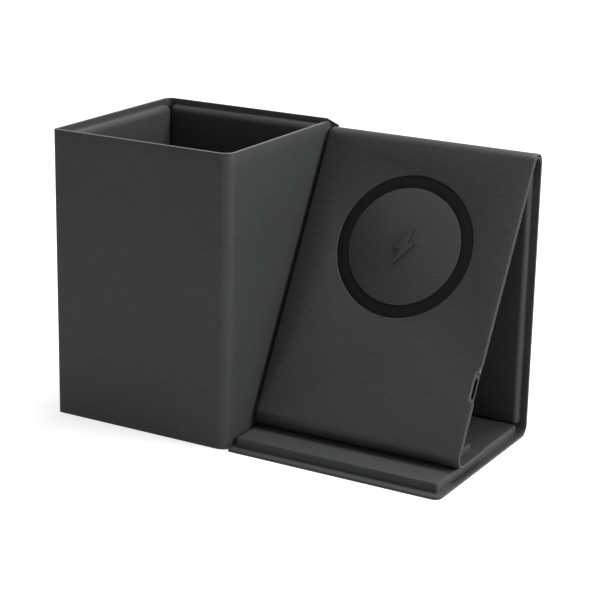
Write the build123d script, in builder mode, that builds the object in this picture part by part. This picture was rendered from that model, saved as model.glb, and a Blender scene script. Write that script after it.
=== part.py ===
"""Folding desk organiser: an open pen box beside a slanted wireless charging stand, folded from one cover.

Every panel is a stiff board pressed between an outer cover and an inner lining. Past the board's edges the
two sheets are welded to a thin margin, and between two boards they make the living hinge that the panel
folds on.

Frame: millimetres, +X to the right, +Y to the back, +Z up. The origin is under the middle of the whole
outline, on the table. The pen box stands at the left, the charging stand at the right.
"""

import os
from math import cos, radians, sin

from build123d import *

os.makedirs("parts", exist_ok=True)

# Driving sizes of the whole object
box_width = 79.4
depth = 79.0
height = 115.0
side_gap = 1.9
stand_width = 87.0
stand_tilt = 28.0
stand_taper = 0.9
taper_reach = 75.0

# Sheets and boards
cover_t = 0.6
lining_t = 0.5
board_t = 2.9
base_board_t = 3.5
shoulder_r = 2.0
wall_shoulder_r = 2.8
crease_r = 0.8
ledge_r = 0.7
rear_r = 0.7
crease = 0.5
sheet_fit = 0.05

# Welded margins round the boards
box_margin = 2.3
side_margin = 2.8
ledge_margin = 4.3
base_left_margin = 0.8

# Corners of the outer cover, seen from above
back_left_r = 3.5
front_left_r = 1.2
front_right_r = 5.0
sheet_corner_r = 3.0

# Folds: outer radius of the cover, and how far the boards stay back from each
stand_fold_r = 4.2
foot_fold_r = 4.4
base_fold_r = 4.5
stand_fold_drop = 2.1
fold_clear = 4.4
foot_clear = 6.5
running_gap = 0.3
rear_gap = 0.3
slope_start = 3.5

# Tab that fastens the pen box's right wall to the back panel
tab_width = 6.0
tab_turn_r = 3.2
tab_lift = 1.5
tab_slope = 4.0

# Floor flap of the pen box, its rest on the front wall and its hinge tape
floor_cover_t = 0.5
floor_board_t = 2.1
floor_side_gap = 0.5
floor_rear_gap = 0.9
rest_depth = 4.0
rest_t = 1.5
tape_t = 0.4
tape_leg = 7.0

# Flap under the stand, its magnets and the plate that they hold to
flap_length = 19.8
flap_board_t = 2.0
flap_side_margin = 5.0
flap_rear_margin = 3.0
flap_magnet_margin = 4.0
flap_magnet_gap = 4.0
flap_magnet_width = 7.0
flap_magnet_t = 1.6
flap_magnet_count = 3
plate_lap = 1.0
plate_width = 14.0
plate_t = 0.5

# Charging ring in the stand's face
ring_outer_r = 28.0
ring_inner_r = 23.0
ring_drop = 39.5
ring_t = 0.3
mark_height = 11.0
mark_width = 6.4
mark_depth = 0.2

# Corners of the pressed lightning bolt, as shares of the mark's half width and half height
bolt_shares = ((1 / 2, 1), (-1, -1 / 6), (-1 / 8, -1 / 6), (-1 / 2, -1), (1, 1 / 6), (1 / 8, 1 / 6))

# Charger in the stand's board: shells, and the arm that carries the circuit board and socket
stand_board_t = 4.8
shell_r = 30.5
shell_wall = 0.9
shell_floor_t = 0.7
front_shell_t = 2.6
shell_fit = 0.2
arm_width = 36.0
arm_lap = 20.5
arm_reach = 10.8
nose_width = 11.4

# Parts inside the charger
magnet_count = 16
magnet_inner_r = 23.4
magnet_outer_r = 27.6
magnet_t = 1.6
magnet_gap_angle = 2.0
coil_outer_r = 21.5
coil_inner_r = 9.5
coil_t = 1.1
ferrite_r = 22.0
ferrite_t = 0.8
shield_t = 0.3
circuit_t = 0.8
circuit_gap = 0.4
circuit_length = 24.0
chip_size = 6.0
chip_t = 0.9
capacitor_length = 3.2
capacitor_width = 2.5
capacitor_t = 1.2
capacitor_step = 4.5
capacitor_count = 3

# Notch in the stand's right edge, its middle measured up from the foot fold, and the socket in it
notch_rise = 25.1
notch_depth = 2.7
notch_floor = 9.8
notch_upper_slope = 3.9
notch_lower_slope = 1.0
socket_width = 8.94
socket_height = 3.2
socket_length = 7.4
socket_wall = 0.3
socket_fit = 0.05
tongue_width = 6.6
tongue_t = 0.7
tongue_length = 5.6

# One overrun for all cuts that go right through
overrun = 1.0

# Places worked out from the sizes above
total_width = box_width + side_gap + stand_width
x_left = -total_width / 2
x_right = total_width / 2
x_box = x_left + box_width
x_stand = x_box + side_gap
x_base = x_box + running_gap
y_front = -depth / 2
y_back = depth / 2
sheet_t = cover_t + lining_t
wall_t = cover_t + board_t + lining_t
base_top = cover_t + base_board_t + lining_t
y_back_face = y_back - wall_t
x_right_face = x_box - wall_t
x_trim = x_right - stand_taper
x_ring = (x_stand + x_right) / 2

across = Vector(1, 0, 0)
down_slope = Vector(0, -sin(radians(stand_tilt)), -cos(radians(stand_tilt)))
out_of_slope = Vector(0, -cos(radians(stand_tilt)), sin(radians(stand_tilt)))

# Hinge centres, as points in the plane that cuts the object from front to back
stand_hinge = Vector(0, y_back - stand_fold_r, height - stand_fold_drop - stand_fold_r)
base_hinge = Vector(0, y_back - base_fold_r, base_fold_r)

# The stand's flat front runs from the top fold to the foot fold
stand_top = stand_hinge + out_of_slope * stand_fold_r
foot_hinge_z = base_top + running_gap + foot_fold_r
stand_length = (stand_top.Z - foot_hinge_z - out_of_slope.Z * foot_fold_r) / -down_slope.Z
foot_hinge = stand_top + down_slope * stand_length - out_of_slope * foot_fold_r
notch_middle = stand_length - notch_rise

# Planes that the panels are drawn on: each lies on the inside of the cover and faces into the object
back_plane = Plane(origin=(0, y_back - cover_t, 0), x_dir=(1, 0, 0), z_dir=(0, -1, 0))
left_plane = Plane(origin=(x_left + cover_t, 0, 0), x_dir=(0, 1, 0), z_dir=(1, 0, 0))
front_plane = Plane(origin=(0, y_front + cover_t, 0), x_dir=(-1, 0, 0), z_dir=(0, 1, 0))
right_plane = Plane(origin=(x_box - cover_t, 0, 0), x_dir=(0, -1, 0), z_dir=(-1, 0, 0))
base_plane = Plane.XY.offset(cover_t)
flap_plane = Plane.XY.offset(base_top + running_gap + cover_t)
slope_face = Plane(origin=stand_top, x_dir=across, z_dir=out_of_slope)
slope_rear = Plane(origin=stand_top - out_of_slope * cover_t, x_dir=across, z_dir=out_of_slope * -1)


def save(piece, name):
    """Labels a finished piece and writes its file."""
    piece.label = name
    export_step(piece, f"parts/{name}.step")
    return piece


def middle(ends):
    """The middle of a stretch given by its two ends."""
    return (ends[0] + ends[1]) / 2


def length(ends):
    """The length of a stretch given by its two ends."""
    return ends[1] - ends[0]


def inset(ends, amount):
    """A stretch drawn in at both ends."""
    return (ends[0] + amount, ends[1] - amount)


def slab(plane, x_ends, y_ends, thickness):
    """A plain flat sheet or plate on a plane."""
    with BuildPart() as piece:
        with BuildSketch(plane):
            with Locations((middle(x_ends), middle(y_ends))):
                Rectangle(length(x_ends), length(y_ends))
        extrude(amount=thickness)
    return piece.part


def rounded_block(plane, x_ends, y_ends, thickness, edge_r):
    """A slab whose inner face has rounded edges."""
    with BuildPart() as piece:
        add(slab(plane, x_ends, y_ends, thickness))
        inner_face = piece.faces().sort_by(Axis(plane.origin, plane.z_dir))[-1]
        fillet(inner_face.edges(), radius=edge_r)
    return piece.part


def wall_block(x_ends, z_ends, thickness, shrink, plane):
    """A wall's raised pad: broad shoulders along its top and bottom, small ones down its ends."""
    with BuildPart() as piece:
        add(slab(plane, inset(x_ends, shrink), inset(z_ends, shrink), thickness))
        inward = Axis(plane.origin, plane.z_dir)
        edges = piece.faces().sort_by(inward)[-1].edges()
        fillet(edges.group_by(Axis.Z)[0] + edges.group_by(Axis.Z)[-1], radius=wall_shoulder_r - shrink)
        fillet(piece.faces().sort_by(inward)[-1].edges().filter_by(Axis.Z), radius=crease_r - shrink)
    return piece.part


def lining(plane, sheet_x, sheet_y, block_x, block_y, thickness, filling, edge_r=shoulder_r):
    """The inner sheet pressed over a board: a flat margin on the cover and a raised shell over the board."""
    with BuildPart() as piece:
        add(rounded_block(plane, block_x, block_y, thickness + lining_t, edge_r))
        add(slab(plane, sheet_x, sheet_y, lining_t))
        add(filling, mode=Mode.SUBTRACT)
    return piece.part


def fold_strip(centre, radius, start, turn, x_ends):
    """The two sheets bent round a fold, as a band about the hinge's centre."""
    side = Plane(origin=(x_ends[0], centre.Y, centre.Z), x_dir=(0, 1, 0), z_dir=(1, 0, 0))
    with BuildPart() as piece:
        with BuildSketch(side):
            with BuildLine():
                outer = CenterArc((0, 0), radius, start, turn)
                inner = CenterArc((0, 0), radius - sheet_t, start, turn)
                Line(outer @ 0, inner @ 0)
                Line(outer @ 1, inner @ 1)
            make_face()
        extrude(amount=length(x_ends))
    return piece.part


# Stretches that boards and linings fill, measured on their own planes
def corner_stop(corner_r):
    """How far a board's lining stays from an outside corner of the pen box."""
    return max(wall_t + crease / 2, corner_r)


box_z = (0, height)
box_block_z = inset(box_z, box_margin)
bay_z = (base_hinge.Z, stand_hinge.Z)
bay_block_z = (base_top + rear_gap, stand_hinge.Z - fold_clear)
box_back_x = (x_left + corner_stop(back_left_r), x_right_face - crease / 2)
bay_x = (box_back_x[0], x_right)
bay_block_x = (x_right_face - 2 * shoulder_r, x_right - side_margin)
left_x = (y_front + corner_stop(front_left_r), y_back - corner_stop(back_left_r))
front_x = (corner_stop(front_right_r) - x_box, -x_left - corner_stop(front_left_r))
right_x = (crease / 2 - y_back_face, -y_front - corner_stop(front_right_r))

board_edge = shoulder_r - lining_t

# Both sheets follow one path round the box, seen from above, and end in the tab on the back panel's lining
tab_y = y_back_face - sheet_t
tab_end = x_box + tab_turn_r + tab_width
bay_top = stand_hinge.Z - fold_clear


def path_band(x_start, thickness):
    """A band of the given thickness inside the path round the pen box, seen from above."""
    with BuildSketch() as band:
        with BuildLine():
            FilletPolyline(
                (x_start, y_back),
                (x_left, y_back),
                (x_left, y_front),
                (x_box, y_front),
                (x_box, tab_y),
                (tab_end, tab_y),
                radius=(back_left_r, front_left_r, front_right_r, tab_turn_r),
            )
            offset(amount=thickness, side=Side.LEFT)
        make_face()
    return band.sketch


def wrap(band):
    """A sheet stood up round the pen box on its band, with the tab at its end trimmed."""
    with BuildPart() as piece:
        add(extrude(band, amount=height, mode=Mode.PRIVATE))
        # Cut the tab clear of the base below and slope its top down behind the stand
        with BuildSketch(Plane.XZ.offset(-y_back_face)):
            with BuildLine():
                Polyline(
                    (x_box, 0),
                    (x_box, base_top + tab_lift),
                    (tab_end + overrun, base_top + tab_lift),
                    (tab_end + overrun, 0),
                    close=True,
                )
            make_face()
            with BuildLine():
                Polyline(
                    (x_box, height),
                    (x_stand - running_gap, height - tab_slope),
                    (x_stand - running_gap, bay_top),
                    (tab_end + overrun, bay_top),
                    (tab_end + overrun, height),
                    close=True,
                )
            make_face()
        extrude(amount=tab_turn_r + sheet_t + overrun, mode=Mode.SUBTRACT)
    return piece.part


# Outer cover: one sheet round the back, the left, front and right walls, with the back of the stand's bay
with BuildPart() as case_cover:
    add(wrap(path_band(x_stand, cover_t)))
    # Beside the box, slope the back's top edge down to the stand's fold and end it at the base's fold
    with BuildSketch(Plane.XZ.offset(-y_back)):
        with BuildLine():
            Polyline(
                (x_box - slope_start, height),
                (x_stand, height),
                (x_stand, height - stand_fold_drop),
                close=True,
            )
        make_face()
        with BuildLine():
            Polyline((x_box, 0), (x_stand, 0), (x_stand, base_hinge.Z), (x_box, base_hinge.Z), close=True)
        make_face()
    extrude(amount=cover_t, mode=Mode.SUBTRACT)
    add(slab(back_plane.offset(-cover_t), (x_stand, x_right), bay_z, cover_t))
save(case_cover.part, "case_cover")

# Back panel: one board and one lining behind the pen box and the stand, both lower where the stand folds
def back_blocks(thickness, shrink):
    """The back's two pads in one: the pen box's, and the stand's, which laps into it and is lower."""
    with BuildPart() as piece:
        add(slab(back_plane, inset(bay_block_x, shrink), inset(bay_block_z, shrink), thickness))
        edges = piece.faces().sort_by(Axis.Y)[0].edges()
        fillet(edges.group_by(Axis.Z)[-1] + edges.group_by(Axis.X)[-1], radius=shoulder_r - shrink)
        fillet(piece.faces().sort_by(Axis.Y)[0].edges().group_by(Axis.Z)[0], radius=rear_r - shrink)
        add(wall_block(box_back_x, box_block_z, thickness, shrink, back_plane))
    return piece.part


with BuildPart() as back_board:
    add(back_blocks(board_t, lining_t))
save(back_board.part, "back_board")

with BuildPart() as back_lining:
    add(back_blocks(board_t + lining_t, 0))
    add(slab(back_plane, box_back_x, box_z, lining_t))
    add(slab(back_plane, bay_x, bay_z, lining_t))
    add(back_board.part, mode=Mode.SUBTRACT)
save(back_lining.part, "back_lining")

# The pen box's three other walls: a board each, under one lining that is pressed round all of them
wall_boards = []
wall_blocks = []
for name, plane, x_ends in (
    ("left", left_plane, left_x),
    ("front", front_plane, front_x),
    ("right", right_plane, right_x),
):
    wall_board = wall_block(x_ends, box_block_z, board_t, lining_t, plane)
    wall_boards.append(save(wall_board, f"{name}_board"))
    wall_blocks.append(wall_block(x_ends, box_block_z, board_t + lining_t, 0, plane))

with BuildPart() as box_lining:
    add(wrap(path_band(box_back_x[0], sheet_t) - path_band(box_back_x[0], cover_t)))
    add(wall_blocks)
    add(wall_boards, mode=Mode.SUBTRACT)
save(box_lining.part, "box_lining")

# Floor flap: a small board between two sheets, hung on tape from the back lining, its front edge on the rest
rest_z = box_margin + wall_shoulder_r
floor_z = rest_z + rest_t
floor_top = floor_z + floor_cover_t + floor_board_t + lining_t
floor_x = (x_left + wall_t + floor_side_gap, x_right_face - floor_side_gap)
floor_y = (y_front + wall_t + floor_side_gap, y_back_face - floor_rear_gap)
save(slab(Plane.XY.offset(floor_z), floor_x, floor_y, floor_cover_t), "floor_cover")
save(slab(Plane.XY.offset(floor_z + floor_cover_t), floor_x, floor_y, floor_board_t), "floor_board")
save(slab(Plane.XY.offset(floor_top - lining_t), floor_x, floor_y, lining_t), "floor_lining")
rest_y = (y_front + wall_t, y_front + wall_t + rest_depth)
save(slab(Plane.XY.offset(rest_z), floor_x, rest_y, rest_t), "floor_rest")

floor_hinge = Vector(middle(floor_x), y_back_face - tape_t, floor_top + tape_t)
with BuildPart() as floor_tape:
    with BuildSketch(Plane.YZ.offset(floor_x[0])):
        with BuildLine():
            Polyline(
                (y_back_face, floor_top),
                (y_back_face, floor_top + tape_leg),
                (floor_hinge.Y, floor_top + tape_leg),
                (floor_hinge.Y, floor_hinge.Z),
                (y_back_face - tape_leg, floor_hinge.Z),
                (y_back_face - tape_leg, floor_top),
                close=True,
            )
        make_face()
    extrude(amount=length(floor_x))
save(floor_tape.part, "floor_tape")

# Base panel under the stand, with a steel plate under its lining for the flap's magnets
base_x = (x_base, x_right)
base_y = (y_front, base_hinge.Y)
base_block_x = (x_base + base_left_margin, x_right - side_margin)
base_block_y = (y_front + ledge_margin, base_hinge.Y)
stand_x = (x_stand, x_right)
foot_x = (x_stand, x_trim)
flap_y = (foot_hinge.Y, foot_hinge.Y + flap_length)
flap_block_x = inset(foot_x, flap_side_margin)
flap_block_y = (foot_hinge.Y + foot_clear, flap_y[1] - flap_rear_margin)
flap_board_x = inset(flap_block_x, lining_t)
flap_board_y = inset(flap_block_y, lining_t)
flap_magnets_x = inset(flap_board_x, flap_magnet_margin)
flap_magnet_length = (length(flap_magnets_x) + flap_magnet_gap) / flap_magnet_count - flap_magnet_gap
plate_x = inset(flap_magnets_x, -plate_lap)
plate_y = (middle(flap_block_y) - plate_width / 2, middle(flap_block_y) + plate_width / 2)

with BuildPart() as base_cover:
    add(slab(Plane.XY, base_x, base_y, cover_t))
    front_corners = base_cover.edges().filter_by(Axis.Z).group_by(Axis.Y)[0]
    fillet(front_corners.sort_by(Axis.X)[-1], radius=sheet_corner_r)
save(base_cover.part, "base_cover")

base_edge = ledge_r - lining_t
base_solid = rounded_block(
    base_plane, inset(base_block_x, lining_t), inset(base_block_y, lining_t), base_board_t, base_edge
)
strike_plate = slab(base_plane.offset(base_board_t - plate_t), plate_x, plate_y, plate_t)
save(strike_plate, "strike_plate")
with BuildPart() as base_board:
    add(base_solid)
    add(strike_plate, mode=Mode.SUBTRACT)
save(base_board.part, "base_board")

with BuildPart() as base_lining:
    add(lining(base_plane, base_x, base_y, base_block_x, base_block_y, base_board_t, base_solid, ledge_r))
    front_corners = base_lining.edges().filter_by(Axis.Z).group_by(Axis.Y)[0]
    fillet(front_corners.sort_by(Axis.X)[-1], radius=sheet_corner_r)
save(base_lining.part, "base_lining")

# Charging stand: the front cover with the ring's window, its right edge trimmed in and notched for the plug
stand_v = (0, stand_length)
stand_block_x = inset(stand_x, side_margin)
stand_block_v = (fold_clear, stand_length - foot_clear)
notch_v = (notch_middle - notch_floor / 2, notch_middle + notch_floor / 2)
x_socket = x_right - notch_depth


def edge_trim(plane, amount, up):
    """The cut along the stand's right edge; up is -1 on a plane whose y runs down the slope."""
    with BuildPart() as piece:
        with BuildSketch(plane):
            with BuildLine():
                Polyline(
                    (x_right + overrun, 0),
                    (x_right, 0),
                    (x_trim, up * -taper_reach),
                    (x_trim, up * -(notch_v[0] - notch_upper_slope)),
                    (x_socket, up * -notch_v[0]),
                    (x_socket, up * -notch_v[1]),
                    (x_trim, up * -(notch_v[1] + notch_lower_slope)),
                    (x_trim, up * -(stand_length + overrun)),
                    (x_right + overrun, up * -(stand_length + overrun)),
                    close=True,
                )
            make_face()
        extrude(amount=amount)
    return piece.part


with BuildPart() as stand_cover:
    add(slab(slope_face.offset(-cover_t), stand_x, (-stand_length, 0), cover_t))
    with BuildSketch(slope_face):
        with Locations((x_ring, -ring_drop)):
            Circle(ring_outer_r + sheet_fit)
    extrude(amount=-cover_t, mode=Mode.SUBTRACT)
    add(edge_trim(slope_face, -cover_t, 1), mode=Mode.SUBTRACT)
save(stand_cover.part, "stand_cover")

# Charging ring: a thin soft ring laid lower than the face, round a disc of the cover's own sheet
with BuildPart() as charging_ring:
    with BuildSketch(slope_face.offset(-cover_t)):
        with Locations((x_ring, -ring_drop)):
            Circle(ring_outer_r)
            Circle(ring_inner_r, mode=Mode.SUBTRACT)
    extrude(amount=ring_t)
save(charging_ring.part, "charging_ring")

with BuildPart() as charging_disc:
    with BuildSketch(slope_face.offset(-cover_t)):
        with Locations((x_ring, -ring_drop)):
            Circle(ring_inner_r - sheet_fit)
    extrude(amount=cover_t)
    # The pressed mark is a plain lightning bolt
    with BuildSketch(slope_face):
        with Locations((x_ring, -ring_drop)):
            with BuildLine():
                Polyline(
                    [(side * mark_width / 2, rise * mark_height / 2) for side, rise in bolt_shares],
                    close=True,
                )
            make_face()
    extrude(amount=-mark_depth, mode=Mode.SUBTRACT)
save(charging_disc.part, "charging_disc")

# Outline of the charger's shells: a round puck, an arm that runs on from it and takes in the whole circuit
# board, and a nose that reaches the notch
arm_x = (stand_block_x[1] - shoulder_r - arm_width, stand_block_x[1] - shoulder_r)
arm_bottom = notch_middle + arm_reach
circuit_stop = shell_wall + circuit_gap
circuit_x = inset(arm_x, circuit_stop)
circuit_v = (arm_bottom - circuit_stop - circuit_length, arm_bottom - circuit_stop)
arm_v = (min(ring_drop + arm_lap, circuit_v[0] - circuit_stop), arm_bottom)
nose_x = (arm_x[0] + arm_width / 2, x_socket - sheet_fit)
nose_v = (notch_middle - nose_width / 2, notch_middle + nose_width / 2)


def charger_prism(start, amount, grow):
    """A prism of the charger's outline, grown or drawn in, between two depths behind the stand's cover."""
    with BuildPart() as piece:
        with BuildSketch(slope_rear.offset(start)):
            with Locations((x_ring, ring_drop)):
                Circle(shell_r + grow)
            for x_ends, v_ends in ((arm_x, arm_v), (nose_x, nose_v)):
                with Locations((middle(x_ends), middle(v_ends))):
                    Rectangle(length(x_ends) + 2 * grow, length(v_ends) + 2 * grow)
        extrude(amount=amount)
    return piece.part


rear_floor_start = stand_board_t - shell_floor_t
socket_depth = (shell_floor_t + rear_floor_start) / 2
socket_centre = Vector(x_socket - sheet_fit, stand_top.Y, stand_top.Z)
socket_centre = socket_centre + down_slope * notch_middle - out_of_slope * (cover_t + socket_depth)
socket_plane = Plane(origin=socket_centre, x_dir=down_slope, z_dir=(-1, 0, 0))


def socket_prism(start, amount, grow):
    """A prism of the socket's rounded outline, going in from its mouth."""
    with BuildPart() as piece:
        with BuildSketch(socket_plane.offset(start)):
            SlotOverall(socket_width + 2 * grow, socket_height + 2 * grow)
        extrude(amount=amount)
    return piece.part


# Charger shells: a tray against the cover and one against the lining, both open where the socket comes out
port_cut = socket_prism(-overrun, shell_wall + 2 * overrun, socket_fit)
with BuildPart() as front_shell:
    add(charger_prism(0, front_shell_t, 0))
    add(charger_prism(shell_floor_t, front_shell_t - shell_floor_t, -shell_wall), mode=Mode.SUBTRACT)
    add(port_cut, mode=Mode.SUBTRACT)
save(front_shell.part, "charger_front_shell")

with BuildPart() as rear_shell:
    add(charger_prism(front_shell_t, stand_board_t - front_shell_t, 0))
    add(charger_prism(front_shell_t, rear_floor_start - front_shell_t, -shell_wall), mode=Mode.SUBTRACT)
    add(port_cut, mode=Mode.SUBTRACT)
save(rear_shell.part, "charger_rear_shell")

# Ring of magnets that holds a phone, just under the charging ring
segment_angle = 360 / magnet_count - magnet_gap_angle
with BuildSketch() as magnet_outline:
    with BuildLine():
        outer = CenterArc((0, 0), magnet_outer_r, 0, segment_angle)
        inner = CenterArc((0, 0), magnet_inner_r, 0, segment_angle)
        Line(outer @ 0, inner @ 0)
        Line(outer @ 1, inner @ 1)
    make_face()
with BuildPart() as ring_magnets:
    with BuildSketch(slope_rear.offset(shell_floor_t)):
        with Locations((x_ring, ring_drop)):
            with PolarLocations(0, magnet_count):
                add(magnet_outline.sketch)
    extrude(amount=magnet_t)
save(ring_magnets.part, "ring_magnets")

# Coil, ferrite sheet and steel shield, stacked behind the disc
with BuildPart() as charging_coil:
    with BuildSketch(slope_rear.offset(shell_floor_t)):
        with Locations((x_ring, ring_drop)):
            Circle(coil_outer_r)
            Circle(coil_inner_r, mode=Mode.SUBTRACT)
    extrude(amount=coil_t)
save(charging_coil.part, "charging_coil")

for name, start, thickness in (
    ("ferrite_sheet", shell_floor_t + coil_t, ferrite_t),
    ("coil_shield", shell_floor_t + coil_t + ferrite_t, shield_t),
):
    with BuildPart() as disc:
        with BuildSketch(slope_rear.offset(start)):
            with Locations((x_ring, ring_drop)):
                Circle(ferrite_r)
        extrude(amount=thickness)
    save(disc.part, name)

# Circuit board on the arm's rear floor, cut out round the socket, with the driver chip and a row of
# capacitors on the side that faces the front
chip_plane = slope_rear.offset(rear_floor_start - circuit_t)
with BuildPart() as circuit_board:
    add(slab(chip_plane, circuit_x, circuit_v, circuit_t))
    add(socket_prism(0, socket_length + circuit_gap, circuit_gap), mode=Mode.SUBTRACT)
save(circuit_board.part, "circuit_board")

chip_x = middle(circuit_x) - chip_size
with BuildPart() as driver_chip:
    with BuildSketch(chip_plane):
        with Locations((chip_x, middle(circuit_v))):
            Rectangle(chip_size, chip_size)
    extrude(amount=-chip_t)
save(driver_chip.part, "driver_chip")

with BuildPart() as capacitors:
    with BuildSketch(chip_plane):
        with Locations((chip_x + chip_size, middle(circuit_v))):
            with GridLocations(0, capacitor_step, 1, capacitor_count):
                Rectangle(capacitor_length, capacitor_width)
    extrude(amount=-capacitor_t)
save(capacitors.part, "capacitors")

# Socket: a closed-back metal shell with the contact tongue inside
with BuildPart() as socket_shell:
    add(socket_prism(0, socket_length, 0))
    add(socket_prism(0, socket_length - socket_wall, -socket_wall), mode=Mode.SUBTRACT)
save(socket_shell.part, "socket_shell")

with BuildPart() as socket_tongue:
    with BuildSketch(socket_plane.offset(socket_length - socket_wall - tongue_length)):
        Rectangle(tongue_width, tongue_t)
    extrude(amount=tongue_length)
save(socket_tongue.part, "socket_tongue")

# Stand board with a pocket for the charger, and the lining over both
pocket = charger_prism(0, stand_board_t, shell_fit)
stand_solid = rounded_block(
    slope_rear, inset(stand_block_x, lining_t), inset(stand_block_v, lining_t), stand_board_t, board_edge
)
with BuildPart() as stand_board:
    add(stand_solid)
    add(pocket, mode=Mode.SUBTRACT)
save(stand_board.part, "stand_board")

nose_room_x = (arm_x[1], x_right + overrun)
nose_room_v = inset(nose_v, -shell_fit)
with BuildPart() as stand_lining:
    add(lining(slope_rear, stand_x, stand_v, stand_block_x, stand_block_v, stand_board_t, stand_solid))
    add(edge_trim(slope_rear, lining_t, -1), mode=Mode.SUBTRACT)
    add(slab(slope_rear, nose_room_x, nose_room_v, stand_board_t), mode=Mode.SUBTRACT)
save(stand_lining.part, "stand_lining")

# Flap under the stand: it lies on the base, and magnets in its board hold it to the base's steel plate
with BuildPart() as flap_cover:
    add(slab(flap_plane.offset(-cover_t), foot_x, flap_y, cover_t))
    fillet(flap_cover.edges().filter_by(Axis.Z).group_by(Axis.Y)[-1], radius=sheet_corner_r)
save(flap_cover.part, "flap_cover")

with BuildPart() as flap_magnets:
    with BuildSketch(flap_plane):
        with Locations((middle(flap_block_x), middle(flap_block_y))):
            with GridLocations(flap_magnet_length + flap_magnet_gap, 0, flap_magnet_count, 1):
                Rectangle(flap_magnet_length, flap_magnet_width)
    extrude(amount=flap_magnet_t)
save(flap_magnets.part, "flap_magnets")

flap_solid = rounded_block(flap_plane, flap_board_x, flap_board_y, flap_board_t, base_edge)
with BuildPart() as flap_board:
    add(flap_solid)
    add(flap_magnets.part, mode=Mode.SUBTRACT)
save(flap_board.part, "flap_board")

with BuildPart() as flap_lining:
    add(lining(flap_plane, foot_x, flap_y, flap_block_x, flap_block_y, flap_board_t, flap_solid, ledge_r))
    fillet(flap_lining.edges().filter_by(Axis.Z).group_by(Axis.Y)[-1], radius=sheet_corner_r)
save(flap_lining.part, "flap_lining")

# Living hinges: the two sheets bent round the top fold, the foot fold and the base's rear fold
stand_turn = 180 - stand_tilt
save(fold_strip(stand_hinge, stand_fold_r, 0, stand_turn, stand_x), "stand_fold")
save(fold_strip(foot_hinge, foot_fold_r, stand_turn, 270 - stand_turn, foot_x), "foot_fold")
save(fold_strip(base_hinge, base_fold_r, 270, 90, base_x), "base_fold")
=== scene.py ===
from math import cos, radians, sin

import bmesh
import bpy
from mathutils import Matrix, Vector


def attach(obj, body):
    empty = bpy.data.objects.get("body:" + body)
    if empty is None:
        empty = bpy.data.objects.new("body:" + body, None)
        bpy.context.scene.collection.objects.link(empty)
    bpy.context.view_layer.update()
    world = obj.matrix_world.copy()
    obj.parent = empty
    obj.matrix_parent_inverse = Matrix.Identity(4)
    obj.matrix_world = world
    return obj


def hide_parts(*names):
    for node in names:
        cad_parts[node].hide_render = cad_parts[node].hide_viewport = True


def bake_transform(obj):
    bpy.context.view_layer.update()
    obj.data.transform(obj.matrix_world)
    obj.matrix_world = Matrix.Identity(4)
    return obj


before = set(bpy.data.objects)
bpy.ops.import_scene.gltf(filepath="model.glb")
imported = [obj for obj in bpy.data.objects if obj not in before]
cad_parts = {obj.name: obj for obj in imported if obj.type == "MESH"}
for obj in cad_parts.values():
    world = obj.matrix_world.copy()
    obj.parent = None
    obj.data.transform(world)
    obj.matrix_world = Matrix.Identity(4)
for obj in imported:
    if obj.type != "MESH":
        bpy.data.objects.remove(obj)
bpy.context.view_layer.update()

# Outer cover of the pen box: one sheet of charcoal PU leatherette, wrapped round the back, left, front and
# right walls and turned out at its end into a tab that is glued to the back panel. Its right part backs the
# charging stand's bay. All sizes are in millimetres.
MM = 0.001
height = 115.0
x_left, x_box, x_stand, x_right = -84.15, -4.75, -2.85, 84.15
y_front, y_back, y_back_face = -39.5, 39.5, 35.5
cover_t, lining_t = 0.6, 0.5
sheet_t = cover_t + lining_t
back_left_r, front_left_r, front_right_r, tab_r = 3.5, 1.2, 5.0, 3.2
tab_y, tab_width, tab_slope, tab_end_gap = 34.4, 6.0, 4.0, 0.3
tab_foot, tab_top = 6.1, 104.3
slope_x = x_box - 3.5
stand_fold_r, stand_fold_y, stand_fold_z = 4.2, 35.3, 108.7
base_fold_r = 4.5
rim_r = 0.16
as_drawn = (1 / MM, 1 / MM, 1 / MM)


def add(kind, name, at=(0, 0, 0), by=(1, 1, 1), turned=(0, 0, 0), **settings):
    """Adds a primitive as a new piece with a place, a size and a turn, and leaves it open for editing."""
    bpy.ops.object.select_all(action="DESELECT")
    getattr(bpy.ops.mesh, f"primitive_{kind}_add")(
        location=Vector(at) * MM, rotation=[radians(angle) for angle in turned], **settings
    )
    piece = bpy.context.object
    piece.name = piece.data.name = name
    piece.scale = Vector(by) * MM
    bpy.ops.object.transform_apply(location=True, rotation=True, scale=True)
    bpy.ops.object.mode_set(mode="EDIT")
    return piece


def pick(kind, test):
    """Selects the open piece's verts, edges or faces that pass a test of their middle and of themselves."""
    bpy.ops.mesh.select_all(action="DESELECT")
    bpy.ops.mesh.select_mode(type={"verts": "VERT", "edges": "EDGE", "faces": "FACE"}[kind])
    mesh = bmesh.from_edit_mesh(bpy.context.object.data)
    mesh.normal_update()
    for element in getattr(mesh, kind):
        corners = [element] if kind == "verts" else element.verts
        middle = sum((corner.co for corner in corners), Vector()) / len(corners) / MM
        if test(middle, element):
            element.select_set(True)
    mesh.select_flush_mode()
    bmesh.update_edit_mesh(bpy.context.object.data)


def near(a, b):
    """Whether two lengths are the same to a hundredth of a millimetre."""
    return abs(a - b) < 0.01


def run(x=0.0, y=0.0, z=0.0):
    """Draws the selection out by a straight step."""
    bpy.ops.mesh.extrude_region_move(TRANSFORM_OT_translate={"value": Vector((x, y, z)) * MM})


def turn(at, angle, steps, axis=(0, 0, 1)):
    """Draws the selection round an axis."""
    bpy.ops.mesh.spin(steps=steps, angle=-radians(angle), center=Vector(at) * MM, axis=axis)


def cut(point, normal, clear=False):
    """Cuts the selection along a plane, and with clear drops what lies on the normal's side."""
    normal = Vector(normal).normalized()
    bpy.ops.mesh.bisect(plane_co=Vector(point) * MM, plane_no=normal, clear_outer=clear)


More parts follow.
